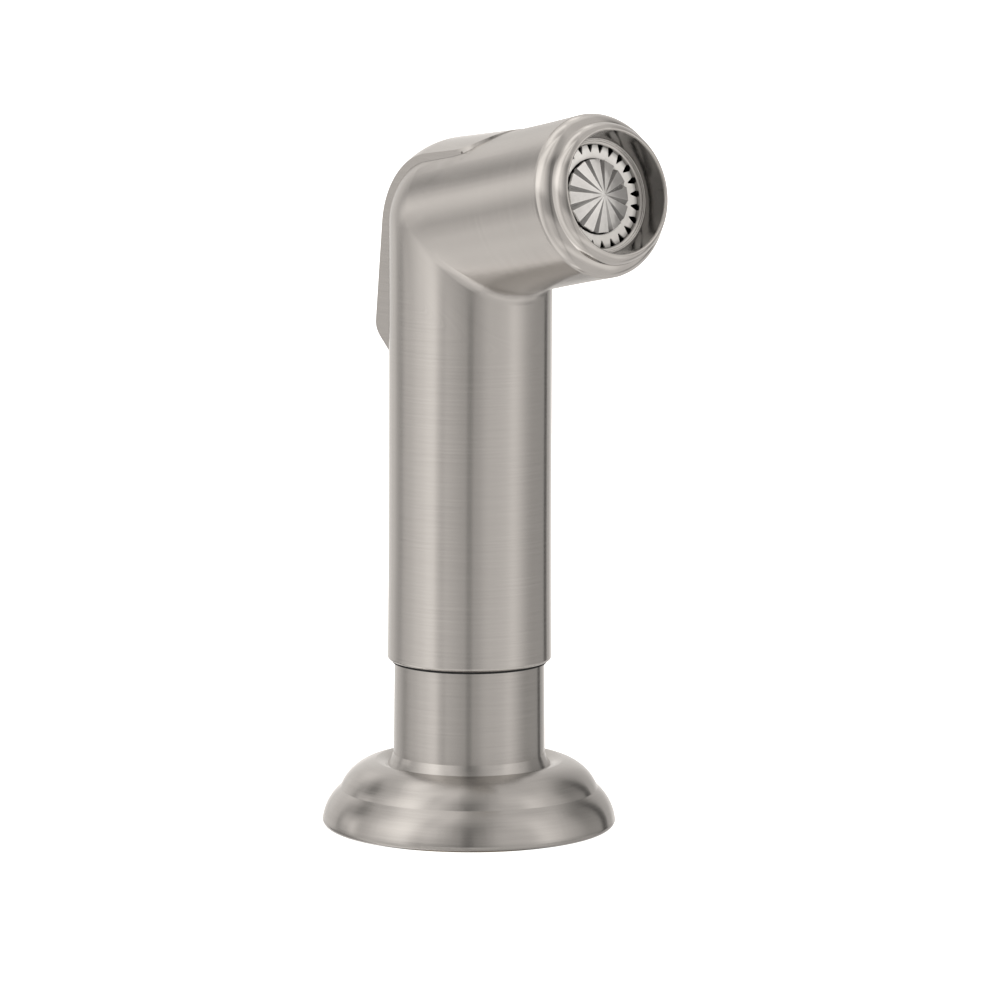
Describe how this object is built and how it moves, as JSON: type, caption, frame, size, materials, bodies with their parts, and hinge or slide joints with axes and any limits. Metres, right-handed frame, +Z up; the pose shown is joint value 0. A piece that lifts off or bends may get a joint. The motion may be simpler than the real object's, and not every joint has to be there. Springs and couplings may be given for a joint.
{
  "type": "kitchen sink side spray",
  "caption": "Pull-out side spray for a kitchen sink: an angled spray head with a thumb lever on the back, standing in a stepped round deck holder with a threaded shank.",
  "frame": {"origin": "on the handle's axis, on the deck plane (the underside of the holder's flange)", "axes": "+Z up along the handle; the spray head points to -Y and the thumb lever is on the +Y side; +X is to the right, seen from the nozzle's side (looking along +Y)"},
  "size_m": [0.054, 0.0706, 0.175],
  "materials": {
    "brushed_nickel": "fine circumferential brushing, satin",
    "polished_nickel": "polished",
    "brass": "machined",
    "stainless": "bright",
    "zinc_steel": "zinc plated",
    "black_rubber": "matt",
    "black_plastic": "moulded",
    "grey_plastic": "moulded",
    "white_plastic": "moulded",
    "satin_plastic": "moulded, metal-toned satin"
  },
  "bodies": {
    "holder": {"holder_flange": "brushed_nickel", "skirt_seat_ring": "black_rubber", "deck_gasket": "black_rubber", "threaded_shank": "brass", "neck_guide_bush": "grey_plastic", "deck_washer": "zinc_steel", "mounting_nut": "brass"},
    "hose_end": {"hose_tail": "brass", "hose_retaining_ring": "stainless", "swivel_washer": "black_rubber"},
    "sprayer": {"spray_body": "brushed_nickel", "nozzle_ring": "polished_nickel", "coupling_nut": "polished_nickel", "inlet_stem": "brass", "inlet_screen": "stainless", "handle_end_bush": "grey_plastic", "supply_tube": "black_plastic", "supply_o_rings": "black_rubber", "lever_pivot_pin": "stainless", "valve_body": "black_plastic", "valve_seat": "white_plastic", "stem_seal": "black_rubber", "stem_gland": "white_plastic", "valve_spring": "stainless", "valve_cap": "black_plastic", "outlet_tube": "black_plastic", "outlet_o_ring": "black_rubber", "face_gasket": "black_rubber", "flow_screen": "stainless", "face_collar": "polished_nickel", "spray_plate": "white_plastic", "spreader_rosette": "satin_plastic", "rosette_screw": "stainless"},
    "lever": {"thumb_lever": "brushed_nickel"},
    "stem": {"valve_stem": "brass", "poppet_washer": "black_rubber"}
  },
  "joints": [
    {"name": "spray_lift", "type": "slide", "parent": "holder", "child": "hose_end", "axis": [0, 0, 1], "range_m": [0, 0.08]},
    {"name": "spray_swivel", "type": "hinge", "parent": "hose_end", "child": "sprayer", "pos_m": [0, 0, 0], "axis": [0, 0, 1], "continuous": true},
    {"name": "lever_press", "type": "hinge", "parent": "sprayer", "child": "lever", "pos_m": [0, -0.00657, 0.12111], "axis": [-1, 0, 0], "range_deg": [0, 6.5], "stiffness_Nm_per_rad": 1.5, "springref_deg": -5.73},
    {"name": "valve_push", "type": "slide", "parent": "sprayer", "child": "stem", "axis": [0, -1, 0], "range_m": [0, 0.0023], "deforming": ["valve_spring"]}
  ],
  "couplings": [
    {"joint": "valve_push", "follows": "lever_press", "m_per_rad": 0.01911}
  ]
}
